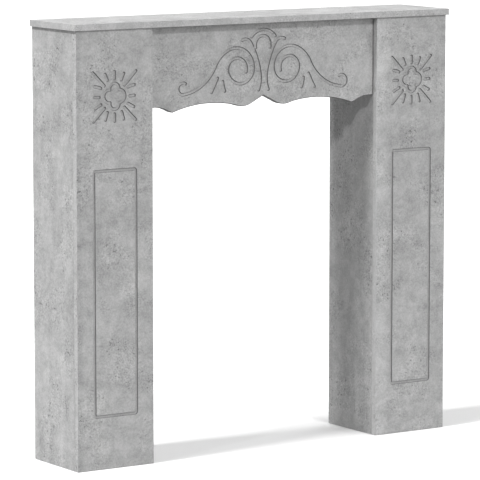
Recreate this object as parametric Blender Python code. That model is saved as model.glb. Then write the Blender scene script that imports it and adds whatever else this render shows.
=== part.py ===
# Fireplace mantelpiece of grey boards with routed ornament.
# Metres, Z up. X runs along the width, the front faces -Y, and the origin is the middle of the underside.

import math

import bmesh
import bpy
from mathutils import Vector

# Overall sizes
OVERALL_HEIGHT = 1.010
BOARD = 0.015
LEG_SPREAD = 1.020
LEG_WIDTH = 0.200
TOP_DEPTH = 0.200
SIDE_OVERHANG = 0.006
FRONT_OVERHANG = 0.005
JOINT_GAP = 0.0003

# Sizes that follow from them
TOP_WIDTH = LEG_SPREAD + 2 * SIDE_OVERHANG
LEG_HEIGHT = OVERALL_HEIGHT - BOARD
LEG_FRONT_Y = -TOP_DEPTH / 2 + FRONT_OVERHANG
BACK_Y = TOP_DEPTH / 2
FRIEZE_FRONT_Y = LEG_FRONT_Y + BOARD + JOINT_GAP
OPENING_WIDTH = LEG_SPREAD - 2 * LEG_WIDTH

# Routed channels: width at the face, width at the bottom, depth
CHANNEL_MOUTH = 0.0078
CHANNEL_FLOOR = 0.0056
FRAME_MOUTH = 0.0062
FRAME_FLOOR = 0.0042
CHANNEL_DEPTH = 0.0026
CUTTER_PROUD = 0.001
CHANNEL_STEP = 0.007

# Long rectangle on each leg
FRAME_WIDTH = 0.110
FRAME_BOTTOM = 0.1215
FRAME_TOP = 0.679
FRAME_CORNER = 0.004

# Sunburst on each leg. Its drawing is on a leg 200 units wide, so it grows with the leg.
SUN_HEIGHT = 0.8455
SUN_UNIT = LEG_WIDTH / 200

# Cross in its middle, in those units: how far the end lobes and the side lobes stand off, and their radius
END_LOBES = (17, 12)
SIDE_LOBES = (13, 14.5)

# Right half of the rays: inner end and outer end from the middle, and how many degrees the ray bends
SUN_RAYS = (
    ((0, 35), (0, 59), 0),
    ((16.5, 32.5), (26, 54), 0),
    ((23.5, 21.2), (59, 57.5), 0),
    ((32, 17.5), (56, 24), -24),
    ((36, -1), (56, 0), 0),
    ((32, -16), (54, -27.5), 0),
    ((23, -23), (58, -58), 0),
    ((17.6, -32), (25, -56), 0),
    ((0, -36), (0, -60), 0),
)

# The frieze is drawn 620 units wide, from the middle of its top edge, so it grows with the opening.
FRIEZE_UNIT = OPENING_WIDTH / 620

# Lines of its left half, as the router travels: start, heading in degrees, then bends of
# (radius, degrees turned). A minus turns to the right.
SCROLL = (
    (-209.3, -134.8),
    130.6,
    ((13.3, 235), (108.6, 59), (71.3, -42.8), (47.7, -108.4), (35.5, -170.7), (25.8, -217.8)),
)
FROND = ((-62.2, -41.6), 41.8, ((18.4, -101.5), (203.9, -21.1), (71.1, -35.2)))
LONG_LEAF = ((-124, -119.5), -116, ((900, -2.8),))
SHORT_LEAF = ((-111.5, -127.5), -90.5, ((63.6, 28),))
OUTER_ARCH = ((-34.9, -35.5), 57.1, ((41.6, -114.2),))
INNER_ARCH = ((-20.4, -61.5), 108.3, ((26.9, -42.6), (19.6, -65.7), (19.6, -65.7), (26.9, -42.6)))

# Lower edge of the frieze, right half, from the cusp in the middle to the point of the ear,
# and from there to the leg
EDGE_CUSP = (0, -168.5)
EDGE_WAVE = (-25.2, ((703, -2.9), (54, 45.9), (114, -7.4), (316, -29.2)))
EDGE_EAR = (9.4, ((40, 19.3), (78.6, -30.6)))
EAR_END = -182
EDGE_STEP = 0.006

# Greys of the decor: the shelf shows lighter than the upright boards
SHELF_GREY = 0.56
UPRIGHT_GREY = 0.40


def clear_scene():
    for obj in list(bpy.data.objects):
        bpy.data.objects.remove(obj, do_unlink=True)


def new_collection(name, hidden):
    collection = bpy.data.collections.new(name)
    bpy.context.scene.collection.children.link(collection)
    collection.hide_render = hidden
    return collection


def board_material(name, grey):
    """Matt concrete-look decor of a coated board."""
    material = bpy.data.materials.new(name)
    material.use_nodes = True
    shader = material.node_tree.nodes["Principled BSDF"]
    shader.inputs["Base Color"].default_value = (grey, grey * 1.01, grey * 1.015, 1)
    shader.inputs["Roughness"].default_value = 0.6
    shader.inputs["Metallic"].default_value = 0.0
    material.diffuse_color = (grey, grey, grey, 1)
    return material


def object_from(bm, name, collection):
    bmesh.ops.recalc_face_normals(bm, faces=bm.faces)
    mesh = bpy.data.meshes.new(name)
    bm.to_mesh(mesh)
    bm.free()
    obj = bpy.data.objects.new(name, mesh)
    collection.objects.link(obj)
    return obj


def board(name, low, high, grey):
    """A flat board between two opposite corners."""
    bm = bmesh.new()
    bmesh.ops.create_cube(bm, size=1)
    size = [b - a for a, b in zip(low, high)]
    bmesh.ops.scale(bm, vec=size, verts=bm.verts)
    obj = object_from(bm, name, pieces)
    obj.location = [(a + b) / 2 for a, b in zip(low, high)]
    obj.data.materials.append(board_material(name, grey))
    return obj


def walk(start, heading, bends, step, unit):
    """Points along a line of joined arcs, in metres, with the heading at each point. The start
    and the radii are in drawing units of that many metres."""
    here = Vector(start) * unit
    angle = math.radians(heading)
    points = [(here.copy(), angle)]
    for radius, turn in bends:
        turn = math.radians(turn)
        length = radius * unit * abs(turn)
        count = max(1, round(length / step))
        for _ in range(count):
            middle = angle + turn / count / 2
            chord = 2 * radius * unit * math.sin(abs(turn) / count / 2)
            here = here + Vector((math.cos(middle), math.sin(middle))) * chord
            angle += turn / count
            points.append((here.copy(), angle))
    return points


def ray_line(inner, outer, bend):
    """Points of one ray from its inner end to its outer end, with an even bend."""
    a = Vector(inner)
    b = Vector(outer)
    along = math.atan2(b.y - a.y, b.x - a.x)
    if bend == 0:
        count = max(2, round((b - a).length * SUN_UNIT / CHANNEL_STEP))
        return [(a.lerp(b, i / count) * SUN_UNIT, along) for i in range(count + 1)]
    radius = (b - a).length / 2 / math.sin(math.radians(abs(bend)) / 2)
    heading = math.degrees(along) - bend / 2
    return walk(inner, heading, ((radius, bend),), CHANNEL_STEP / 2, SUN_UNIT)


def mirrored(points):
    return [(Vector((-p.x, p.y)), math.pi - angle) for p, angle in points]


def with_round_ends(points, half):
    """The same line as (point, heading, width factor), narrowing to a half round at each end."""
    lengths = [0.0]
    for (a, _), (b, _) in zip(points, points[1:]):
        lengths.append(lengths[-1] + (b - a).length)
    total = lengths[-1]
    ends = [half * (1 - math.cos(math.radians(v))) for v in (18, 45, 70, 90)]
    wanted = ends + [s for s in lengths if half * 1.4 < s < total - half * 1.4]
    wanted += [total - s for s in reversed(ends)]
    out = []
    k = 0
    for s in wanted:
        while k < len(lengths) - 2 and lengths[k + 1] < s:
            k += 1
        (a, start), (b, stop) = points[k], points[k + 1]
        t = (s - lengths[k]) / (lengths[k + 1] - lengths[k])
        edge = min(s, total - s, half)
        factor = math.sqrt(max(0.0, 1 - (1 - edge / half) ** 2))
        out.append((a.lerp(b, t), start + (stop - start) * t, factor))
    return out


def add_channel(bm, line, mouth, floor, closed=False):
    """A bar of tapered section along a line, in the plane of the face: y is 0 at the face and
    grows into the board."""
    slope = (mouth - floor) / 2 / CHANNEL_DEPTH
    rings = []
    for point, angle, factor in line:
        side = Vector((-math.sin(angle), math.cos(angle)))
        front = (mouth / 2 + slope * CUTTER_PROUD) * factor
        back = floor / 2 * factor
        ring = []
        for across, into in (
            (-front, -CUTTER_PROUD),
            (front, -CUTTER_PROUD),
            (back, CHANNEL_DEPTH),
            (-back, CHANNEL_DEPTH),
        ):
            spot = point + side * across
            ring.append(bm.verts.new((spot.x, into, spot.y)))
        rings.append(ring)
    pairs = list(zip(rings, rings[1:]))
    if closed:
        pairs.append((rings[-1], rings[0]))
    else:
        bm.faces.new(rings[0])
        bm.faces.new(list(reversed(rings[-1])))
    for one, two in pairs:
        for i in range(4):
            j = (i + 1) % 4
            bm.faces.new((one[i], one[j], two[j], two[i]))


def channel_cutter(name, lines, mouth, floor):
    bm = bmesh.new()
    for points in lines:
        add_channel(bm, with_round_ends(points, mouth / 2), mouth, floor)
    cutter = object_from(bm, name, cutters)
    cutter.hide_render = True
    cutter.display_type = "WIRE"
    return cutter


def closed_cutter(name, points, mouth, floor):
    bm = bmesh.new()
    add_channel(bm, [(p, angle, 1.0) for p, angle in points], mouth, floor, closed=True)
    cutter = object_from(bm, name, cutters)
    cutter.hide_render = True
    cutter.display_type = "WIRE"
    return cutter


def cut(obj, cutter, x, y, z):
    cutter.location = (x, y, z)
    modifier = obj.modifiers.new(cutter.name, "BOOLEAN")
    modifier.operation = "DIFFERENCE"
    modifier.solver = "EXACT"
    modifier.object = cutter


def frame_line():
    """Rounded rectangle on a leg, round its middle, as points with mitred headings."""
    half_x = FRAME_WIDTH / 2
    half_z = (FRAME_TOP - FRAME_BOTTOM) / 2
    points = []
    for quarter, (sx, sz) in enumerate(((1, 1), (-1, 1), (-1, -1), (1, -1))):
        middle = Vector((sx * (half_x - FRAME_CORNER), sz * (half_z - FRAME_CORNER)))
        for i in range(3):
            angle = math.radians(90 * quarter + 45 * i)
            spot = middle + Vector((math.cos(angle), math.sin(angle))) * FRAME_CORNER
            points.append((spot, angle + math.pi / 2))
    return points


def cross_lobes():
    """Four arcs of the lobed outline in the middle of a sunburst, each run on past the notches."""
    up, up_radius = END_LOBES
    out, out_radius = SIDE_LOBES
    # A notch is where the upper lobe's circle meets the side lobe's.
    base = math.hypot(up, out)
    along = (base ** 2 + up_radius ** 2 - out_radius ** 2) / 2 / base
    away = math.sqrt(up_radius ** 2 - along ** 2)
    notch = Vector((0, up)) + Vector((out, -up)) / base * along + Vector((up, out)) / base * away
    past = CHANNEL_MOUTH / 2 / SUN_UNIT
    side_reach = math.atan2(notch.y, notch.x - out) + past / out_radius
    top_reach = math.atan2(notch.x, notch.y - up) + past / up_radius
    lobes = []
    for quarter, (offset, radius, reach) in enumerate(
        ((out, out_radius, side_reach), (up, up_radius, top_reach)) * 2
    ):
        facing = math.pi / 2 * quarter
        middle = Vector((math.cos(facing), math.sin(facing))) * offset
        start = middle + Vector((math.cos(facing - reach), math.sin(facing - reach))) * radius
        heading = math.degrees(facing - reach + math.pi / 2)
        bends = ((radius, 2 * math.degrees(reach)),)
        lobes.append(walk(start, heading, bends, CHANNEL_STEP / 1.5, SUN_UNIT))
    return lobes


def build_top():
    low = (-TOP_WIDTH / 2, -TOP_DEPTH / 2, LEG_HEIGHT)
    high = (TOP_WIDTH / 2, TOP_DEPTH / 2, OVERALL_HEIGHT)
    board("mantel_top", low, high, SHELF_GREY)


def build_leg(side, x_outer, x_inner):
    """A hollow leg, open at the back: a front board over the front edges of two side boards."""
    top = LEG_HEIGHT - JOINT_GAP
    low_x = min(x_outer, x_inner)
    high_x = max(x_outer, x_inner)
    middle = (low_x + high_x) / 2
    front_low = (low_x, LEG_FRONT_Y, 0)
    front_high = (high_x, LEG_FRONT_Y + BOARD, top)
    front = board(side + "_leg_front", front_low, front_high, UPRIGHT_GREY)
    inwards = 1 if x_inner > x_outer else -1
    for name, x in (("outer", x_outer), ("inner", x_inner)):
        other = x + inwards * BOARD if name == "outer" else x - inwards * BOARD
        low = (min(x, other), LEG_FRONT_Y + BOARD + JOINT_GAP, 0)
        high = (max(x, other), BACK_Y, top)
        board(side + "_leg_" + name + "_side", low, high, UPRIGHT_GREY)
    frame = closed_cutter(side + "_frame_cutter", frame_line(), FRAME_MOUTH, FRAME_FLOOR)
    cut(front, frame, middle, LEG_FRONT_Y, (FRAME_BOTTOM + FRAME_TOP) / 2)
    lobes = cross_lobes()
    for name, arcs in (("_side_lobes_cutter", lobes[0::2]), ("_end_lobes_cutter", lobes[1::2])):
        cross = channel_cutter(side + name, arcs, CHANNEL_MOUTH, CHANNEL_FLOOR)
        cut(front, cross, middle, LEG_FRONT_Y, SUN_HEIGHT)
    rays = [ray_line(inner, outer, bend) for inner, outer, bend in SUN_RAYS]
    rays += [mirrored(ray) for ray, row in zip(rays, SUN_RAYS) if row[0][0] > 0]
    sun = channel_cutter(side + "_rays_cutter", rays, CHANNEL_MOUTH, CHANNEL_FLOOR)
    cut(front, sun, middle, LEG_FRONT_Y, SUN_HEIGHT)


def frieze_outline():
    """Outline of the frieze seen from the front, anticlockwise from the upper right. Heights are
    from the underside of the shelf."""
    half = OPENING_WIDTH / 2 - JOINT_GAP
    heading, bends = EDGE_WAVE
    wave = [p for p, _ in walk(EDGE_CUSP, heading, bends, EDGE_STEP, FRIEZE_UNIT)]
    heading, bends = EDGE_EAR
    ear = [p for p, _ in walk(wave[-1] / FRIEZE_UNIT, heading, bends, EDGE_STEP, FRIEZE_UNIT)]
    end = Vector((half, EAR_END * FRIEZE_UNIT))
    right = [p for p in wave + ear[1:] if p.x < half - EDGE_STEP] + [end]
    left = [Vector((-p.x, p.y)) for p in reversed(right[1:])]
    return [Vector((half, -JOINT_GAP)), Vector((-half, -JOINT_GAP))] + left + right


def build_frieze():
    bm = bmesh.new()
    verts = [bm.verts.new((p.x, 0, p.y)) for p in frieze_outline()]
    face = bm.faces.new(verts)
    grown = bmesh.ops.extrude_face_region(bm, geom=[face])
    moved = [v for v in grown["geom"] if isinstance(v, bmesh.types.BMVert)]
    bmesh.ops.translate(bm, verts=moved, vec=(0, BOARD, 0))
    frieze = object_from(bm, "frieze", pieces)
    frieze.location = (0, FRIEZE_FRONT_Y, LEG_HEIGHT)
    frieze.data.materials.append(board_material("frieze", UPRIGHT_GREY))
    carved = (
        ("scroll", SCROLL, True),
        ("frond", FROND, True),
        ("long_leaf", LONG_LEAF, True),
        ("short_leaf", SHORT_LEAF, True),
        ("outer_arch", OUTER_ARCH, False),
        ("inner_arch", INNER_ARCH, False),
    )
    for name, (start, heading, bends), twice in carved:
        line = walk(start, heading, bends, CHANNEL_STEP, FRIEZE_UNIT)
        lines = [("left_", line), ("right_", mirrored(line))] if twice else [("", line)]
        for prefix, points in lines:
            cutter_name = prefix + name + "_cutter"
            cutter = channel_cutter(cutter_name, [points], CHANNEL_MOUTH, CHANNEL_FLOOR)
            cut(frieze, cutter, 0, FRIEZE_FRONT_Y, LEG_HEIGHT)


clear_scene()
pieces = new_collection("mantelpiece", False)
cutters = new_collection("cutters", True)
build_top()
build_leg("left", -LEG_SPREAD / 2, -LEG_SPREAD / 2 + LEG_WIDTH)
build_leg("right", LEG_SPREAD / 2, LEG_SPREAD / 2 - LEG_WIDTH)
build_frieze()
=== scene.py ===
# %% [markdown]
# # A fireplace mantelpiece of grey boards
# The real object is a fireplace surround that is sold flat and put together at home: one long
# shelf board on two boxed legs, with a wavy frieze board between them. All of it is coated board
# with a printed concrete look, and a router has drawn the ornament into it as shallow channels.
# It could be modelled as one block with grooves. It is built board by board here, because the
# joints, the band on each edge and the hollow legs are what make it read as the real thing.
# Everything is in metres. X runs along the shelf, the front faces -Y and Z is up.

# %% Load the fixed frame
import math

import bpy
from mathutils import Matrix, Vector


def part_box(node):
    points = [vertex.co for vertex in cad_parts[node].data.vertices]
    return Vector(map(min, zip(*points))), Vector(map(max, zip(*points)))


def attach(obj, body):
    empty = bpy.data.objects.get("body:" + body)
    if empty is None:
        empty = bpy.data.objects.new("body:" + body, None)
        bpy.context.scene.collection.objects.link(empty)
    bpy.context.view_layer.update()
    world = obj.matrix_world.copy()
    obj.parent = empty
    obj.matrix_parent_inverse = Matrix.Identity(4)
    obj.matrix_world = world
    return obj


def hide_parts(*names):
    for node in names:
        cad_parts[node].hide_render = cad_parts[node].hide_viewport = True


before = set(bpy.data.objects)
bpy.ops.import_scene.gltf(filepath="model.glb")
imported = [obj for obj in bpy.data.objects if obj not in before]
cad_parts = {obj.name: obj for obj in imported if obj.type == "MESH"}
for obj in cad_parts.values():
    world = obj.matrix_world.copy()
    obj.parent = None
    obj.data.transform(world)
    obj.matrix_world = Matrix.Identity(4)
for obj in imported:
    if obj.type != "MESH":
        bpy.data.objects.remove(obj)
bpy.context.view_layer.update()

# %% [markdown]
# ## Working as by hand
# Blender's operators act on whatever is selected, so each step first clears the selection and
# then picks its own object or faces. The same could be done by writing into the mesh directly,
# but then nobody could repeat the steps at the screen. These helpers keep the habit short.

# %% Pick an object or some of its faces
def pick_only(obj):
    if bpy.context.mode != "OBJECT":
        bpy.ops.object.mode_set(mode="OBJECT")
    bpy.ops.object.select_all(action="DESELECT")
    obj.select_set(True)
    bpy.context.view_layer.objects.active = obj


def pick_faces(obj, wanted):
    """In edit mode, selects the faces that pass the test and no others."""
    pick_only(obj)
    bpy.ops.object.mode_set(mode="EDIT")
    bpy.ops.mesh.select_mode(type="FACE")
    bpy.ops.mesh.select_all(action="DESELECT")
    bpy.ops.object.mode_set(mode="OBJECT")
    for face in obj.data.polygons:
        face.select = wanted(face)
    bpy.ops.object.mode_set(mode="EDIT")


def apply_place(obj):
    pick_only(obj)
    bpy.ops.object.transform_apply(location=True, rotation=True, scale=True)


# %% [markdown]
# ## Finishes and hand-over of a board
# One board carries two or more finishes: the print on its wide faces, a band on its edges and
# darker walls in its channels, which paint the shade there. Separate objects could carry them, but
# a real board is one piece, so its faces are picked by where they point and given a material slot.
# The finished board then stands in for its solid, which stays hidden in the model for contact.

# %% Give faces a finish and hand a board over
SMOOTH_BELOW = 20


def give_finish(obj, finish, wanted):
    """Gives the finish to the faces that pass the test."""
    names = [material.name for material in obj.data.materials]
    if finish.name not in names:
        obj.data.materials.append(finish)
        names.append(finish.name)
    pick_faces(obj, wanted)
    obj.active_material_index = names.index(finish.name)
    bpy.ops.object.material_slot_assign()
    bpy.ops.object.mode_set(mode="OBJECT")


def finish_piece(obj, node):
    """Shades a finished piece, lets it ride on the root body and hides the solid it stands in for.
    """
    pick_only(obj)
    bpy.ops.object.shade_smooth_by_angle(angle=math.radians(SMOOTH_BELOW))
    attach(obj, "root")
    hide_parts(node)
    count = sum(len(face.vertices) - 2 for face in obj.data.polygons)
    print(obj.name, "stands for", node, "with", count, "triangles")


# %% [markdown]
# ## Concrete decor
# The coated face is a picture of concrete, printed on paper and pressed onto the board. It is matt
# and flat to the touch, and all its life is in the print. A photograph of concrete wrapped round
# the boards would be the quick way, but it would repeat and blur up close. Noises at several
# scales give the same life without a seam. They read Object coordinates, so the print never
# slides. The helpers below keep the node work short: one makes a noise, one stretches a value to
# a new range, and one adds or multiplies.

# %% Node helpers
NOISE_LOW, NOISE_HIGH = 0.3, 0.7


def node_of(tree, kind, **settings):
    node = tree.nodes.new(kind)
    for key, value in settings.items():
        setattr(node, key, value)
    return node


def noise(tree, coords, scale, detail, rough, stretch=(1, 1, 1), shift=(0, 0, 0), distortion=0.0):
    mapping = node_of(tree, "ShaderNodeMapping")
    mapping.inputs["Scale"].default_value = stretch
    mapping.inputs["Location"].default_value = shift
    tree.links.new(coords, mapping.inputs["Vector"])
    texture = node_of(tree, "ShaderNodeTexNoise")
    texture.inputs["Scale"].default_value = scale
    texture.inputs["Detail"].default_value = detail
    texture.inputs["Roughness"].default_value = rough
    texture.inputs["Distortion"].default_value = distortion
    tree.links.new(mapping.outputs["Vector"], texture.inputs["Vector"])
    return texture.outputs["Fac"]


def ranged(tree, value, low, high, out_low, out_high, smooth=True):
    """Stretches low to high onto out_low to out_high, and stops there."""
    node = node_of(tree, "ShaderNodeMapRange", clamp=True)
    node.interpolation_type = "SMOOTHSTEP" if smooth else "LINEAR"
    ends = (("From Min", low), ("From Max", high), ("To Min", out_low), ("To Max", out_high))
    for name, number in ends:
        node.inputs[name].default_value = number
    tree.links.new(value, node.inputs["Value"])
    return node.outputs["Result"]


def combine(tree, operation, a, b):
    node = node_of(tree, "ShaderNodeMath", operation=operation)
    for socket, value in zip(node.inputs, (a, b)):
        if isinstance(value, (int, float)):
            socket.default_value = value
        else:
            tree.links.new(value, socket)
    return node.outputs[0]


def either_way(tree, value, most, smooth=True):
    """Spreads a noise from its usual range to plus or minus the given amount."""
    return ranged(tree, value, NOISE_LOW, NOISE_HIGH, -most, most, smooth)


print("A noise is read from", NOISE_LOW, "to", NOISE_HIGH)

# %% [markdown]
# ## Tones of the print
# Cast concrete has slow clouds as wide as a hand, smaller blotches inside them, smears where it
# ran along the mould, and patches where coarse grain shows. One noise with much detail could
# stand for all of these, but then they couldn't be made weaker or stronger one by one. Each gets
# its own noise here, added to a brightness of one.

# %% Brightness from clouds to grain
BLOTCH = 0.16
SMEAR = 0.075
QUIET_GRAIN = 0.16
COARSE_GRAIN = 0.16
PATCHES_BETWEEN = (0.46, 0.6)


def print_tones(tree, here, cloud, smear):
    """Brightness of the print, and the noises that other steps use again."""
    clouds = noise(tree, here, scale=5.0, detail=3, rough=0.55, distortion=0.8)
    blotches = noise(tree, here, scale=30, detail=6, rough=0.74, distortion=0.4)
    smears = noise(tree, here, scale=30, detail=4, rough=0.6, stretch=smear, distortion=0.5)
    grain = noise(tree, here, scale=260, detail=3, rough=0.7)
    light = combine(tree, "ADD", either_way(tree, clouds, cloud), 1.0)
    light = combine(tree, "ADD", light, either_way(tree, blotches, BLOTCH))
    light = combine(tree, "ADD", light, either_way(tree, smears, SMEAR))

    # The grain is strong inside scattered patches and quiet between them.
    spread = noise(tree, here, scale=11, detail=2, rough=0.5, shift=(3.1, 1.7, 5.3))
    patches = ranged(tree, spread, *PATCHES_BETWEEN, 0.0, 1.0)
    strength = combine(tree, "MULTIPLY", patches, COARSE_GRAIN)
    strength = combine(tree, "ADD", strength, QUIET_GRAIN)
    signed = either_way(tree, grain, 1.0, smooth=False)
    light = combine(tree, "ADD", light, combine(tree, "MULTIPLY", signed, strength))
    return light, blotches, grain, patches


print("Blotches swing the print by", BLOTCH, "and grain by up to", QUIET_GRAIN + COARSE_GRAIN)

# %% [markdown]
# ## Marks in the print
# Air bubbles leave dark pin holes in concrete, and the trowel leaves short level scratches. They
# could be placed one by one, but the boards hold hundreds. Taking only the peaks of a fine noise
# gives separate spots, and the same on a noise that is stretched level gives short strokes.

# %% Pin holes and scratches
PIN_HOLE = 0.4
SCRATCH = 0.15
LEVEL_STROKE = (0.22, 0.22, 2.6)
HOLES_BETWEEN = (0.64, 0.73)
STROKES_BETWEEN = (0.66, 0.74)
STROKED_BETWEEN = (0.5, 0.62)


def print_marks(tree, here, light, patches):
    """Adds dark pin holes and level scratches. The holes are used again for the bump."""
    bubbles = noise(tree, here, scale=150, detail=1, rough=0.4)
    holes = ranged(tree, bubbles, *HOLES_BETWEEN, 0.0, 1.0)
    spots = combine(tree, "MULTIPLY", holes, patches)
    light = combine(tree, "SUBTRACT", light, combine(tree, "MULTIPLY", spots, PIN_HOLE))
    strokes = noise(
        tree, here, scale=60, detail=2, rough=0.5, stretch=LEVEL_STROKE,
        shift=(1.3, 6.1, 2.2), distortion=0.2,
    )
    where = noise(tree, here, scale=7, detail=1, rough=0.5, shift=(6.6, 0.9, 8.4))
    scratch = combine(
        tree, "MULTIPLY",
        ranged(tree, strokes, *STROKES_BETWEEN, 0.0, 1.0),
        ranged(tree, where, *STROKED_BETWEEN, 0.0, 1.0),
    )
    light = combine(tree, "SUBTRACT", light, combine(tree, "MULTIPLY", scratch, SCRATCH))
    return light, spots


print("Pin holes darken the print by", PIN_HOLE, "and scratches by", SCRATCH)

# %% [markdown]
# ## Colour of the print
# The print is grey, with the least hint of yellow where pale bloom lies on it, as lime does on
# real concrete. A warm tint all over would be simpler, but it would turn the whole board beige.
# A strip beside one upright edge of a leg front can also turn paler or darker, where the real
# sheet happens to change.

# %% Bloom, border strip and contrast
BLOOM = 0.12
BLOOM_TINT = -0.07
BLOOM_BETWEEN = (0.56, 0.74)
STRIP_START = 0.4


def print_colour(tree, coords, here, light, grey, contrast, border, shader):
    """Adds bloom and the border strip, sets the contrast and links the colour."""
    bloom = noise(tree, here, scale=8, detail=2, rough=0.5, shift=(7.7, 2.2, 0.4))
    bloom = ranged(tree, bloom, *BLOOM_BETWEEN, 0.0, BLOOM)
    light = combine(tree, "ADD", light, bloom)
    if border:
        across = node_of(tree, "ShaderNodeSeparateXYZ")
        tree.links.new(coords, across.inputs["Vector"])
        edge_x, width, change = border
        start, end = edge_x + width * STRIP_START, edge_x + width
        strip = ranged(tree, across.outputs["X"], start, end, change, 0.0)
        light = combine(tree, "ADD", light, strip)
    swing = combine(tree, "MULTIPLY", combine(tree, "SUBTRACT", light, 1.0), contrast)
    light = combine(tree, "ADD", swing, 1.0)
    tone = node_of(tree, "ShaderNodeCombineColor")
    for channel, tint in (("Red", 0.0), ("Green", 0.0), ("Blue", BLOOM_TINT)):
        toned = combine(tree, "ADD", light, combine(tree, "MULTIPLY", bloom, tint))
        tree.links.new(combine(tree, "MULTIPLY", toned, grey), tone.inputs[channel])
    tree.links.new(tone.outputs["Color"], shader.inputs["Base Color"])


print("Bloom lifts the print by up to", BLOOM)

# %% [markdown]
# ## The decor as a material
# The coating is matt and a little uneven, and it is pressed with a very fine texture. One flat
# roughness would do from afar, but it would look like plastic in a low light, so the blotches
# turn it up and down. Grain and pin holes give a bump of less than half a millimetre.

# %% Decor material
BUMP_STRENGTH = 0.12
BUMP_DISTANCE = 0.0004
HEIGHT_SHARE = 0.5
SMOOTHER, ROUGHER = 0.05, 0.07
UPRIGHT_SMEAR = (1, 1, 0.16)
LEVEL_SMEAR = (0.2, 1, 0.9)


def decor(
    name, grey, shift, contrast=1.0, cloud=0.06, rough=0.52, border=None, smear=UPRIGHT_SMEAR
):
    """The whole print in one grey. A border is (x of the edge, width, change in brightness)."""
    material = bpy.data.materials.new(name)
    material.use_nodes = True
    tree = material.node_tree
    shader = tree.nodes["Principled BSDF"]
    coords = node_of(tree, "ShaderNodeTexCoord").outputs["Object"]
    place = node_of(tree, "ShaderNodeMapping")
    place.inputs["Location"].default_value = shift
    tree.links.new(coords, place.inputs["Vector"])
    here = place.outputs["Vector"]
    light, blotches, grain, patches = print_tones(tree, here, cloud, smear)
    light, spots = print_marks(tree, here, light, patches)
    print_colour(tree, coords, here, light, grey, contrast, border, shader)

    roughness = ranged(
        tree, blotches, NOISE_LOW, NOISE_HIGH, rough - SMOOTHER, rough + ROUGHER
    )
    tree.links.new(roughness, shader.inputs["Roughness"])
    bump = node_of(tree, "ShaderNodeBump")
    bump.inputs["Strength"].default_value = BUMP_STRENGTH
    bump.inputs["Distance"].default_value = BUMP_DISTANCE
    raised = combine(tree, "MULTIPLY", grain, HEIGHT_SHARE)
    sunk = combine(tree, "MULTIPLY", spots, HEIGHT_SHARE)
    tree.links.new(combine(tree, "SUBTRACT", raised, sunk), bump.inputs["Height"])
    tree.links.new(bump.outputs["Normal"], shader.inputs["Normal"])
    return material


print("A decor has a bump of", BUMP_DISTANCE * 1000, "mm")

# %% [markdown]
# ## Wide faces
# All boards are cut from the same stock, so one grey runs through all of them. The fronts and the
# shelf have smears that lie level, and the sides have smears that stand upright, as the sheets
# were cut. One material could serve every board, but the shelf is a little paler, which paints
# the light that falls on its top, the sides are cloudier, and a strip of the left leg's print is
# darker where the right leg's is paler.

# %% Decor of the wide faces
GREY = 0.385
# The shelf's paler grey is painted light: it stands for the extra light on its top.
SHELF_GREY_PAINTED_LIGHT = GREY * 1.06
FRONT_SHIFT = (1.7, 0.4, 2.9)

left_strip = (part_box("left_leg_front")[0][0], 0.018, -0.09)
right_strip = (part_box("right_leg_front")[0][0], 0.042, 0.17)
frieze_decor = decor("decor_face", GREY, FRONT_SHIFT, smear=LEVEL_SMEAR)
left_leg_decor = decor(
    "decor_left_leg", GREY, FRONT_SHIFT, border=left_strip, smear=LEVEL_SMEAR
)
right_leg_decor = decor(
    "decor_right_leg", GREY, FRONT_SHIFT, border=right_strip, smear=LEVEL_SMEAR
)
shelf_decor_painted_light = decor("decor_top_painted_light", SHELF_GREY_PAINTED_LIGHT, (4.3, 1.1, 0.7), cloud=0.05, smear=LEVEL_SMEAR)
side_decor = decor("decor_side", GREY, (5.2, 1.3, 3.8), contrast=1.15, cloud=0.08)
print("Wide faces have a grey of", GREY, "and the shelf one of", round(SHELF_GREY_PAINTED_LIGHT, 3))

# %% [markdown]
# ## Edges and channels
# A glued-on band is a little paler and smoother than the face it borders. The band on the edges
# that face the opening is paler still, which paints the light that falls on them. Where the saw
# has cut, bare board shows dark, and its very dark grey also paints the shade under the frieze's
# edge.
# The router's channels get darker walls, and the narrow groove a slightly darker floor, which
# paint the shade in them. Plain colours could do for such thin faces, but they would stand out up
# close, so every one of them keeps the print, most at a lower contrast.

# %% Finishes of edges and channels
edge_band = decor(
    "edge_band", GREY * 1.08, (9.1, 3.3, 6.2), contrast=0.9, cloud=0.02, rough=0.47
)
# The paler band on the edges that face the opening is painted light on those edges.
opening_band_painted_light = decor(
    "edge_band_painted_light", GREY * 1.25, (6.6, 5.1, 2.4), contrast=0.6, cloud=0.02, rough=0.47
)
# The sawn edge is bare board, and its very dark grey also paints the shade under the frieze's
# lower edge.
sawn_edge_and_painted_shade = decor("sawn_edge_and_painted_shade", GREY * 0.18, (3.6, 7.7, 1.8), contrast=0.6, rough=0.6)
# The groove floor's slightly darker grey is painted shade in the groove.
groove_floor_painted_shade = decor("fine_groove_painted_shade", GREY * 0.95, (4.4, 2.7, 8.3), contrast=0.6, rough=0.6)
# The dark grey of the channel walls and their rounded corners is painted shade in the channels.
routed_wall_painted_shade = decor("routed_wall_painted_shade", GREY * 0.5, (1.4, 8.2, 2.9), contrast=0.6, rough=0.6)
thin_finishes = (edge_band, opening_band_painted_light, sawn_edge_and_painted_shade, groove_floor_painted_shade, routed_wall_painted_shade)
print("Finishes of thin faces:", [finish.name for finish in thin_finishes])

# %% [markdown]
# ## Flat boards
# The shelf and the four side boards are sawn panels with glued-on edge bands. They could be left
# as the bare boxes of the solids, but a box with no arris never catches a line of light. So a cube
# is set to the board's size, and its arrises are softened by about half a millimetre in edit mode.
# The narrow faces then get the band.

# %% One softened board
ARRIS = 0.0006
EDGE_TURN = 0.5


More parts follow.
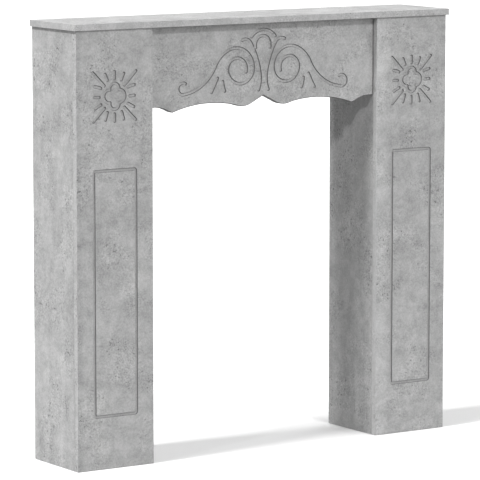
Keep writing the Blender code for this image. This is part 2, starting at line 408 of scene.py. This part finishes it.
def solid_board(name, node):
    low, high = (Vector(corner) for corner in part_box(node))
    bpy.ops.object.select_all(action="DESELECT")
    bpy.ops.mesh.primitive_cube_add(size=1, location=(low + high) / 2)
    board = bpy.context.active_object
    board.name = board.data.name = name
    board.scale = high - low
    apply_place(board)
    bpy.ops.object.mode_set(mode="EDIT")
    bpy.ops.mesh.select_all(action="SELECT")
    bpy.ops.mesh.bevel(
        offset=ARRIS, offset_type="OFFSET", segments=2, profile=0.5, affect="EDGES"
    )
    bpy.ops.object.mode_set(mode="OBJECT")
    print(name, "measures", [round(v, 3) for v in board.dimensions])
    return board


def band_edges(board, wide_axis, face_finish, edge_finish, turned=EDGE_TURN):
    """Wide faces get the print, and faces that turn away from the wide axis the edge finish."""
    board.data.materials.append(face_finish)
    give_finish(board, edge_finish, lambda face: abs(face.normal[wide_axis]) < turned)


print("Arrises are softened by", ARRIS * 1000, "mm")

# %% [markdown]
# ## Shelf and leg sides
# The shelf lies across both legs and reaches past them a little. Each leg has an outer and an
# inner side board behind its front, and is open at the back. A leg could be one hollow box, but
# the thin gaps between its boards would be missing, so every board is made in its own place.

# %% Five flat boards
shelf = solid_board("shelf_board", "mantel_top")
band_edges(shelf, 2, shelf_decor_painted_light, edge_band)
finish_piece(shelf, "mantel_top")
for side in ("left", "right"):
    for place in ("outer", "inner"):
        node = side + "_leg_" + place + "_side"
        panel = solid_board(side + "_" + place + "_board", node)
        band_edges(panel, 0, side_decor, edge_band)
        finish_piece(panel, node)

# %% [markdown]
# ## The router's cut
# Every line of the ornament is one pass of a small router bit: a channel about 8 mm wide and
# 2.6 mm deep, with steep walls, a floor rounded into them, and a half-round end where the bit
# went in. A bump or a dark line in the material would look flat from the side, so the channel is
# really cut. A curve carries the bit's outline along its length. Made a mesh, that curve is the
# waste that the bit takes out.

# %% Flat curves and the bit's outline
MM = 0.001
MOUTH = 7.8
NARROW_MOUTH = 7.2
BIT_HALF = (
    (4.5, -0.7), (3.9, 0.0), (3.72, 0.25), (3.5, 1.4), (3.3, 2.1),
    (2.95, 2.5), (2.4, 2.6),
)


def empty_curve(name):
    bpy.ops.object.select_all(action="DESELECT")
    bpy.ops.curve.primitive_nurbs_path_add()
    curve = bpy.context.active_object
    curve.name = name
    curve.data.splines.clear()
    curve.data.dimensions = "2D"
    return curve


def draw_line(curve, line, closed):
    """Adds one line of (x, y, radius factor) in millimetres to the curve."""
    spline = curve.data.splines.new("POLY")
    spline.points.add(len(line) - 1)
    for point, (x, y, factor) in zip(spline.points, line):
        point.co = (x * MM, y * MM, 0, 1)
        point.radius = factor
    spline.use_cyclic_u = closed


def bit_outline(name, width):
    """A closed flat curve in the shape of the bit, seen along its path."""
    outline = empty_curve(name)
    squeeze = width / MOUTH
    half = [(x * squeeze, -depth, 1.0) for x, depth in BIT_HALF]
    draw_line(outline, half + [(-x, y, factor) for x, y, factor in reversed(half)], True)
    return outline


wide_bit = bit_outline("wide_bit", MOUTH)
narrow_bit = bit_outline("narrow_bit", NARROW_MOUTH)
print("Bit outlines have", len(wide_bit.data.splines[0].points), "points")

# %% [markdown]
# ## The bit's path
# The machine moves the bit along arcs that run smoothly into each other. Curve handles could be
# pulled by eye until they match, but with a radius and a turn for each arc the line can be
# changed by one number. At each end of a pass the points' radius shrinks over the last 4 mm,
# which gives the half-round end.

# %% Walk along arcs and round the ends
ROUND_END = (9, 22, 35, 48, 61, 75, 90)
END_ZONE = 1.15
LEAST_FACTOR = 0.12


def walk(start, heading, bends, step):
    """Points in millimetres along joined arcs, each bend a (radius, degrees turned)."""
    x, z = start
    angle = math.radians(heading)
    points = [(x, z)]
    for radius, turn in bends:
        turn = math.radians(turn)
        count = max(1, round(radius * abs(turn) / step))
        for _ in range(count):
            middle = angle + turn / count / 2
            chord = 2 * radius * math.sin(abs(turn) / count / 2)
            x += math.cos(middle) * chord
            z += math.sin(middle) * chord
            angle += turn / count
            points.append((x, z))
    return points


def with_ends(points, half):
    """The same line with extra points near each end, as (x, z, radius factor)."""
    lengths = [0.0]
    for a, b in zip(points, points[1:]):
        lengths.append(lengths[-1] + math.dist(a, b))
    total = lengths[-1]
    ends = [half * (1 - math.cos(math.radians(v))) for v in ROUND_END]
    inside = [s for s in lengths if half * END_ZONE < s < total - half * END_ZONE]
    wanted = ends + inside + [total - s for s in reversed(ends)]
    line = []
    k = 0
    for s in wanted:
        while k < len(lengths) - 2 and lengths[k + 1] < s:
            k += 1
        t = (s - lengths[k]) / (lengths[k + 1] - lengths[k])
        x = points[k][0] + (points[k + 1][0] - points[k][0]) * t
        z = points[k][1] + (points[k + 1][1] - points[k][1]) * t
        edge = min(s, total - s, half)
        factor = math.sqrt(max(0.0, 1 - (1 - edge / half) ** 2))
        line.append((x, z, max(factor, LEAST_FACTOR)))
    return line


def mirror_line(line):
    return [(-x, z, factor) for x, z, factor in line]


print("A straight pass of 50 mm has", len(with_ends([(0, 0), (50, 0)], MOUTH / 2)), "points")

# %% [markdown]
# ## Cutting a board
# The lines are written in millimetres on the face of the board. The curve is drawn flat, stood
# up against the face, made a mesh and taken out of the board with an exact Boolean, which also
# hands the bit's finish to the new faces. Pushing faces down by hand would give the same shape,
# but not where lines cross. The floor of a channel keeps the print, and its walls and rounded
# corners keep a dark grey that paints the shade in the channel.

# %% Waste, cut and floor
MERGE_WITHIN = 0.000005
FACES_FRONT = -0.99


def waste(lines, bit, middle_x, face_y, base_z=0.0, closed=False, finish=routed_wall_painted_shade):
    path = empty_curve("waste")
    path.data.fill_mode = "NONE"
    path.data.bevel_mode = "OBJECT"
    path.data.bevel_object = bit
    path.data.use_fill_caps = not closed
    for line in lines:
        draw_line(path, line, closed)
    path.rotation_euler = (math.radians(90), 0, 0)
    path.location = (middle_x, face_y, base_z)
    bpy.ops.object.convert(target="MESH")
    path = bpy.context.active_object
    apply_place(path)
    bpy.ops.object.mode_set(mode="EDIT")
    bpy.ops.mesh.select_all(action="SELECT")
    bpy.ops.mesh.remove_doubles(threshold=MERGE_WITHIN)
    bpy.ops.mesh.normals_make_consistent(inside=False)
    bpy.ops.object.mode_set(mode="OBJECT")
    path.data.materials.clear()
    path.data.materials.append(finish)
    return path


def rout(board, cutter):
    """Takes the waste out of the board, and says how many faces that adds."""
    pick_only(board)
    bpy.ops.object.modifier_add(type="BOOLEAN")
    modifier = board.modifiers[-1]
    modifier.operation = "DIFFERENCE"
    modifier.solver = "EXACT"
    modifier.material_mode = "TRANSFER"
    modifier.object = cutter
    before = len(board.data.polygons)
    bpy.ops.object.modifier_apply(modifier=modifier.name)
    bpy.data.objects.remove(cutter, do_unlink=True)
    return len(board.data.polygons) - before


def print_floor(board):
    """Gives the flat floor of each channel the board's own print."""
    finishes = board.data.materials
    give_finish(
        board, finishes[0],
        lambda face: finishes[face.material_index] == routed_wall_painted_shade
        and face.normal.y < FACES_FRONT,
    )


print("Waste is cut with the finish", routed_wall_painted_shade.name)

# %% [markdown]
# ## Leg front with a sunburst
# The front board of each leg has a sunburst near its top, sixteen short channels round a
# four-lobed cross. The rays could all be turned copies of one, but they differ in length, and
# one pair bends. So each is written by its two ends. The rays on the middle line and on one side
# are drawn, and the other side is their mirror image.

# %% Front board and rays
SUN_HEIGHT = 845.5
RAY_STEP = 2
SUN_RAYS = (
    ((0, 35), (0, 59), 0),
    ((16.5, 32.5), (26, 54), 0),
    ((23.5, 21.2), (59, 57.5), 0),
    ((32, 17.5), (56, 24), -24),
    ((36, -1), (56, 0), 0),
    ((32, -16), (54, -27.5), 0),
    ((23, -23), (58, -58), 0),
    ((17.6, -32), (25, -56), 0),
    ((0, -36), (0, -60), 0),
)


def ray_line(inner, outer, bend):
    if bend == 0:
        points = [inner, ((inner[0] + outer[0]) / 2, (inner[1] + outer[1]) / 2), outer]
    else:
        along = math.degrees(math.atan2(outer[1] - inner[1], outer[0] - inner[0]))
        radius = math.dist(inner, outer) / 2 / math.sin(math.radians(abs(bend)) / 2)
        points = walk(inner, along - bend / 2, ((radius, bend),), RAY_STEP)
    return with_ends(points, MOUTH / 2)


leg_low, leg_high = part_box("left_leg_front")
leg_middle = (leg_low[0] + leg_high[0]) / 2
leg_face = leg_low[1]
leg_front = solid_board("left_front_board", "left_leg_front")
band_edges(leg_front, 1, left_leg_decor, edge_band)
rays = [ray_line(*row) for row in SUN_RAYS]
rays += [mirror_line(line) for line, row in zip(rays, SUN_RAYS) if row[0][0] > 0]
print("Sunburst rays:", len(rays), "new faces:",
      rout(leg_front, waste(rays, wide_bit, leg_middle, leg_face, SUN_HEIGHT * MM)))

# %% [markdown]
# ## The cross in the sunburst
# The cross is one closed channel of four lobes, two larger ones at the sides and two smaller ones
# above and below. It could be drawn as one line, but a curve with a sharp notch pinches its bevel
# there. Four separate arcs that run on past the notches cross each other instead, as two passes
# of the bit do. Only lobes that are opposite each other, and so don't touch, share a cut.

# %% Four-lobed cross
CROSS_UP = (17, 12)
CROSS_OUT = (13, 14.5)
CROSS_STEP = 1.6


def cross_arcs():
    """Four arcs round the middle, each run on past the notch where it meets the next."""
    (up, up_radius), (out, out_radius) = CROSS_UP, CROSS_OUT
    base = math.hypot(up, out)
    along = (base ** 2 + up_radius ** 2 - out_radius ** 2) / 2 / base
    away = math.sqrt(up_radius ** 2 - along ** 2)
    notch_x = (out * along + up * away) / base
    notch_z = up + (-up * along + out * away) / base
    side_reach = math.atan2(notch_z, notch_x - out) + MOUTH / 2 / out_radius
    top_reach = math.atan2(notch_x, notch_z - up) + MOUTH / 2 / up_radius
    arcs = []
    for quarter, (offset, radius, reach) in enumerate(
        ((out, out_radius, side_reach), (up, up_radius, top_reach)) * 2
    ):
        facing = math.pi / 2 * quarter
        start = (
            math.cos(facing) * offset + math.cos(facing - reach) * radius,
            math.sin(facing) * offset + math.sin(facing - reach) * radius,
        )
        heading = math.degrees(facing - reach) + 90
        points = walk(start, heading, ((radius, 2 * math.degrees(reach)),), CROSS_STEP)
        arcs.append(with_ends(points, MOUTH / 2))
    return arcs


arcs = cross_arcs()
for pair in (arcs[0::2], arcs[1::2]):
    added = rout(leg_front, waste(pair, wide_bit, leg_middle, leg_face, SUN_HEIGHT * MM))
    print("Two opposite lobes, new faces:", added)

# %% [markdown]
# ## The long rectangle
# Below the sunburst a narrower bit has cut one long rectangle with small round corners. It could
# be inset from the face, but an inset has flat walls and sharp corners. The same kind of waste,
# closed on itself, gives the bit's own shape. The floor of this groove is painted a little darker
# than the print and its steep walls much darker, as painted shade, so it shows as two fine lines.

# %% Rectangle and its finishes
FRAME_HALF = 55
FRAME_BOTTOM = 121.5
FRAME_TOP = 679
FRAME_CORNER = 4.6
CORNER_STEPS = 6
WALL_FROM = -0.8


def frame_points():
    middle_z = (FRAME_TOP + FRAME_BOTTOM) / 2
    half_z = (FRAME_TOP - FRAME_BOTTOM) / 2
    points = []
    for quarter, (sx, sz) in enumerate(((1, 1), (-1, 1), (-1, -1), (1, -1))):
        for i in range(CORNER_STEPS + 1):
            angle = math.radians(90 * quarter + 90 / CORNER_STEPS * i)
            x = sx * (FRAME_HALF - FRAME_CORNER) + math.cos(angle) * FRAME_CORNER
            z = middle_z + sz * (half_z - FRAME_CORNER) + math.sin(angle) * FRAME_CORNER
            points.append((x, z, 1.0))
    return points


rectangle = waste(
    [frame_points()], narrow_bit, leg_middle, leg_face, closed=True, finish=groove_floor_painted_shade
)
print("Rectangle faces:", rout(leg_front, rectangle))
leg_finishes = leg_front.data.materials
give_finish(
    leg_front, routed_wall_painted_shade,
    lambda face: leg_finishes[face.material_index] == groove_floor_painted_shade
    and face.normal.y > WALL_FROM,
)
print_floor(leg_front)

# %% [markdown]
# ## The right leg's front
# Both fronts carry the same drawing, so the right one is a copy of the left with its own mesh,
# slid along. Both could be cut in turn, but that would double the slowest step of the script.
# Each front then gets its own strip in the print and a paler band on the edge that faces the
# opening, which paints the light that falls on that edge.

# %% Copy for the right leg
OPENING_EDGE = 0.09

right_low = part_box("right_leg_front")[0]
pick_only(leg_front)
bpy.ops.object.duplicate()
right_front = bpy.context.active_object
right_front.name = right_front.data.name = "right_front_board"
right_front.location.x = right_low[0] - leg_low[0]
apply_place(right_front)
right_front.data.materials[0] = right_leg_decor
for board, inward in ((leg_front, 1), (right_front, -1)):
    give_finish(
        board, opening_band_painted_light,
        lambda face: face.normal.x * inward > EDGE_TURN
        and abs(face.center.x) < abs(leg_middle) - OPENING_EDGE,
    )
finish_piece(leg_front, "left_leg_front")
finish_piece(right_front, "right_leg_front")

# %% [markdown]
# ## The frieze's outline
# The frieze is one board with a sawn wavy lower edge: a cusp in the middle between two lobes, a
# long flat wave, and a pointed ear before each leg. The edge could be pulled out of a box point
# by point. Walking it as joined arcs keeps the curves fair, and only its right half has to be
# walked, because the left is its mirror image.

# %% Outline of the frieze
EDGE_CUSP = (0, -168.5)
EDGE_WAVE = (-25.2, ((703, -2.9), (54, 45.9), (114, -7.4), (316, -29.2)))
EDGE_EAR = (9.4, ((40, 19.3), (78.6, -30.6)))
EAR_END = -182
LINE_STEP = 2.5
END_MARGIN = 3

frieze_low, frieze_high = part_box("frieze")
half_width = frieze_high[0] / MM
shelf_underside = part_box("mantel_top")[0][2]
wave = walk(EDGE_CUSP, *EDGE_WAVE, LINE_STEP)
ear = walk(wave[-1], *EDGE_EAR, LINE_STEP)
right_edge = [point for point in wave + ear[1:] if point[0] < half_width - END_MARGIN]
right_edge.append((half_width, EAR_END))
left_edge = [(-x, z) for x, z in reversed(right_edge[1:])]
top_z = (frieze_high[2] - shelf_underside) / MM
outline = [(half_width, top_z), (-half_width, top_z)] + left_edge + right_edge
print("The frieze's outline has", len(outline), "points")

# %% [markdown]
# ## The frieze as a board
# A flat curve that is filled and given a thickness does what a saw does to a panel. A mesh face
# could be extruded instead, but the curve fills its own outline. Made a mesh, it is merged, its
# faces are turned outwards, and needless points on straights go.

# %% Frieze board
SAME_POINT = 0.00001
STRAIGHT_BELOW = 0.5

frieze = empty_curve("frieze_board")
frieze.data.fill_mode = "BOTH"
thickness = frieze_high[1] - frieze_low[1]
frieze.data.extrude = thickness / 2
draw_line(frieze, [(x, z, 1.0) for x, z in outline], True)
frieze.rotation_euler = (math.radians(90), 0, 0)
frieze.location = (0, frieze_low[1] + thickness / 2, shelf_underside)
bpy.ops.object.convert(target="MESH")
frieze = bpy.context.active_object
frieze.data.name = "frieze_board"
apply_place(frieze)
bpy.ops.object.mode_set(mode="EDIT")
bpy.ops.mesh.select_all(action="SELECT")
bpy.ops.mesh.remove_doubles(threshold=SAME_POINT)
bpy.ops.mesh.normals_make_consistent(inside=False)
bpy.ops.mesh.dissolve_limited(angle_limit=math.radians(STRAIGHT_BELOW))
bpy.ops.object.mode_set(mode="OBJECT")
print("Frieze faces before routing:", len(frieze.data.polygons))

# %% [markdown]
# ## The frieze's sawn edge
# The long lower edge has no band: the saw left bare board, which shows as a thin dark line under
# the print. Its very dark grey also paints the shade under this down-facing edge. A separate strip
# could carry it. A Bevel modifier is simpler, because it follows the whole wave at once, and its
# faces take the bare, shaded finish together with the edge.

# %% Soften the frieze and give its edge the bare, shaded finish
SAWN_ARRIS = 0.0017
SHARP_ABOVE = 40
BARE_AND_SHADED_BELOW = 0.98

bpy.ops.object.modifier_add(type="BEVEL")
soften = frieze.modifiers[-1]
soften.width = SAWN_ARRIS
soften.segments = 2
soften.limit_method = "ANGLE"
soften.angle_limit = math.radians(SHARP_ABOVE)
bpy.ops.object.modifier_apply(modifier=soften.name)
frieze.data.materials.clear()
band_edges(frieze, 1, frieze_decor, sawn_edge_and_painted_shade, turned=BARE_AND_SHADED_BELOW)
print("The sawn arris is", SAWN_ARRIS / MM, "mm wide")

# %% [markdown]
# ## The frieze's ornament
# A pair of scrolls winds in from the ears to the middle, with a frond rising beside each, two
# small leaves below each, and a double arch between the fronds. They could be cut all at once,
# but several run into each other, and a cutter that crosses itself can spoil the Boolean. They
# are routed one after another, as the machine does it.

# %% Routed lines of the frieze
SCROLL = (
    (-209.3, -134.8), 130.6,
    ((13.3, 235), (108.6, 59), (71.3, -42.8), (47.7, -108.4), (35.5, -170.7), (25.8, -217.8)),
)
FROND = ((-62.2, -41.6), 41.8, ((18.4, -101.5), (203.9, -21.1), (71.1, -35.2)))
LONG_LEAF = ((-124, -119.5), -116, ((900, -2.8),))
SHORT_LEAF = ((-111.5, -127.5), -90.5, ((63.6, 28),))
OUTER_ARCH = ((-34.9, -35.5), 57.1, ((41.6, -114.2),))
INNER_ARCH = (
    (-20.4, -61.5), 108.3,
    ((26.9, -42.6), (19.6, -65.7), (19.6, -65.7), (26.9, -42.6)),
)
ORNAMENT = (
    ("scroll", SCROLL, True), ("frond", FROND, True), ("long leaf", LONG_LEAF, True),
    ("short leaf", SHORT_LEAF, True), ("outer arch", OUTER_ARCH, False),
    ("inner arch", INNER_ARCH, False),
)

for name, drawn, twice in ORNAMENT:
    line = with_ends(walk(*drawn, LINE_STEP), MOUTH / 2)
    passes = [line, mirror_line(line)] if twice else [line]
    faces = [
        rout(frieze, waste([one], wide_bit, 0, frieze_low[1], shelf_underside)) for one in passes
    ]
    print("Routed", name, "new faces", faces)
print_floor(frieze)
finish_piece(frieze, "frieze")

# %% [markdown]
# ## Clearing the workshop
# The bit outlines were only tools. They could be hidden, but a hidden object is easily forgotten,
# so they are removed and the scene holds just the object.

# %% Remove the tools
for tool in (wide_bit, narrow_bit):
    bpy.data.objects.remove(tool, do_unlink=True)

# %% [markdown]
# ## Floor
# A wide pale floor runs back far enough to be the background too. A white floor throws light up
# under everything, and the undersides here stay dark, so the floor is hidden from soft bounced
# light. A darker floor would do the same, but it would no longer be pale. It lies half a
# millimetre under the legs, so that their lower ends and the floor don't share a plane.

# %% Pale floor
FLOOR_SIZE = 120
FLOOR_DROP = 0.0005
FLOOR_GREY = 0.9
FLOOR_ROUGHNESS = 0.95
FLOOR_SPECULAR = 0.2

bpy.ops.object.select_all(action="DESELECT")
bpy.ops.mesh.primitive_plane_add(size=FLOOR_SIZE, location=(0, 0, -FLOOR_DROP))
floor = bpy.context.active_object
floor.name = "floor"
floor_paint = bpy.data.materials.new("floor_paint")
floor_paint.use_nodes = True
floor_shader = floor_paint.node_tree.nodes["Principled BSDF"]
floor_shader.inputs["Base Color"].default_value = (FLOOR_GREY, FLOOR_GREY, FLOOR_GREY, 1)
floor_shader.inputs["Roughness"].default_value = FLOOR_ROUGHNESS
floor_shader.inputs["Specular IOR Level"].default_value = FLOOR_SPECULAR
floor.data.materials.append(floor_paint)
floor.visible_diffuse = False
print("The floor is", FLOOR_SIZE, "m wide")

# %% [markdown]
# ## Lamps
# The light is that of a white studio. Area lamps would do, but suns need only a direction and a
# softness, and every view then gets the same light. The front lamp throws the shelf's narrow
# shadow onto the frieze. The left front lamp draws the slanting shadow on the right leg's inner
# side. The left lamp makes the left sides the brightest upright faces. The front fill and the
# overhead lamp are very soft, and the back fill is for the other views. Three of the lamps give
# no gloss, because they graze the shelf's top and would flare on it.

# %% Studio lamps
LAMP_AWAY = 3


def sun(name, towards, strength, softness):
    """A lamp far away in the direction given, with shadows as soft as the angle given."""
    bpy.ops.object.light_add(type="SUN", location=Vector(towards) * LAMP_AWAY)
    lamp = bpy.context.active_object
    lamp.name = name
    lamp.data.energy = strength
    lamp.data.angle = math.radians(softness)
    lamp.rotation_euler = Vector(towards).to_track_quat("Z", "Y").to_euler()
    return lamp


sun("front_lamp", (0, -1, 0.8), 0.85, 6)
front_fill = sun("front_fill", (0.25, -1, 0.2), 1.47, 80)
left_front_lamp = sun("left_front_lamp", (-2.8, -1, 0.8), 0.68, 2.5)
sun("left_lamp", (-1, -0.04, 1.2), 3.35, 12)
sun("overhead_lamp", (0.1, -0.1, 1), 0.75, 70)
back_fill = sun("back_fill", (0.8, 1, 0.25), 1.5, 80)
for lamp in (front_fill, left_front_lamp, back_fill):
    lamp.visible_glossy = False

# %% [markdown]
# ## Air
# A little light comes from all sides, as in any white room, and what the camera sees past the
# floor is plain white. One bright sky could do both, but it would wash out the shadows, so the
# light of the air and the wall that is seen are two backgrounds.

# %% Soft air and white wall
AIR_STRENGTH = 0.2
WHITE = (1, 1, 1, 1)

world = bpy.data.worlds.new("studio_air")
bpy.context.scene.world = world
world.use_nodes = True
air = world.node_tree
soft_air = air.nodes["Background"]
soft_air.inputs["Color"].default_value = WHITE
soft_air.inputs["Strength"].default_value = AIR_STRENGTH
white_wall = node_of(air, "ShaderNodeBackground")
white_wall.inputs["Color"].default_value = WHITE
seen = node_of(air, "ShaderNodeLightPath").outputs["Is Camera Ray"]
either = node_of(air, "ShaderNodeMixShader")
air.links.new(seen, either.inputs["Fac"])
air.links.new(soft_air.outputs["Background"], either.inputs[1])
air.links.new(white_wall.outputs["Background"], either.inputs[2])
air.links.new(either.outputs["Shader"], air.nodes["World Output"].inputs["Surface"])
bpy.context.scene.view_settings.view_transform = "Standard"
print("The air has a strength of", AIR_STRENGTH)

# %% [markdown]
# ## Camera
# The view is from the front left, about a metre and a half up, through a long lens that keeps the
# uprights nearly parallel. A closer camera with a wide lens could frame the same object, but it
# would splay the legs. The place and the angles were solved from the corners of the boards.

# %% Long lens from the front left
CAMERA_PLACE = (-4.368, -6.6482, 1.5273)
CAMERA_YAW = math.radians(33.23)
CAMERA_PITCH = math.radians(7.49)
FILM_WIDTH = 36
LENS = 257.4
FAR_END = 300

bpy.ops.object.camera_add(location=CAMERA_PLACE)
camera = bpy.context.active_object
camera.name = "photo_camera"
look = Vector((
    math.sin(CAMERA_YAW) * math.cos(CAMERA_PITCH),
    math.cos(CAMERA_YAW) * math.cos(CAMERA_PITCH),
    -math.sin(CAMERA_PITCH),
))
camera.rotation_euler = look.to_track_quat("-Z", "Y").to_euler()
camera.data.sensor_width = FILM_WIDTH
camera.data.lens = LENS
camera.data.clip_end = FAR_END
bpy.context.scene.camera = camera
print("Camera distance", round((camera.location - Vector((0, 0, 0.5))).length, 2), "m")
